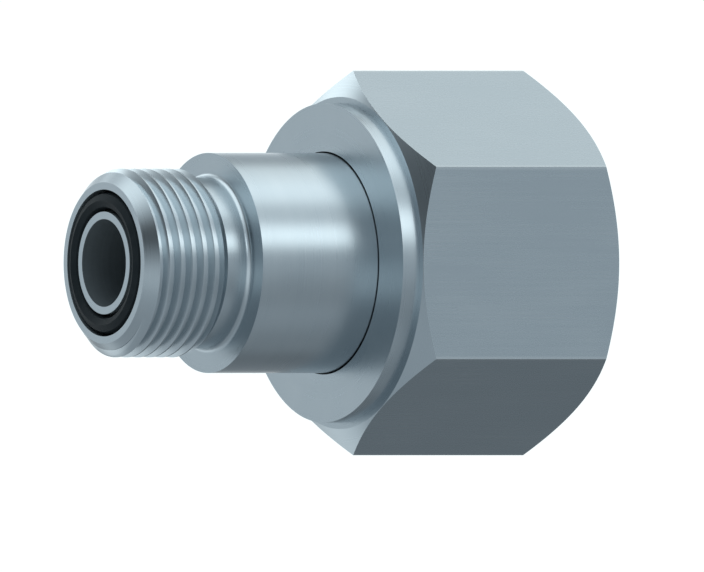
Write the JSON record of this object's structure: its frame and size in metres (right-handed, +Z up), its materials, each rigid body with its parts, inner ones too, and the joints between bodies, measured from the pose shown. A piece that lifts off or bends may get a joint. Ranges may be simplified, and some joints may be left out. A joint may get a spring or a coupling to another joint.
{
  "type": "o-ring face seal reducer with swivel nut",
  "caption": "Turned steel tube fitting with a threaded male face seal end, its rubber seal ring and a loose swivel hexagon nut on the shank.",
  "frame": {"origin": "centre of the box round the whole fitting, on its bore axis", "axes": "+X along the bore axis from the male end to the nut's open end, +Z up through a corner of the hexagon, +Y normal to one of its flats"},
  "size_m": [0.0544, 0.036, 0.0416],
  "materials": {
    "plated_steel_body": "turned, satin blue-grey plating",
    "black_rubber": "smooth moulded rubber",
    "plated_steel_nut": "drawn flats and turned ends, satin blue-grey plating"
  },
  "bodies": {
    "fitting": {"fitting_body": "plated_steel_body", "face_o_ring": "black_rubber"},
    "nut": {"swivel_nut": "plated_steel_nut"}
  },
  "joints": [
    {"name": "nut_spin", "type": "hinge", "parent": "fitting", "child": "nut", "pos_m": [0.0138, 0, 0], "axis": [1, 0, 0], "continuous": true}
  ]
}
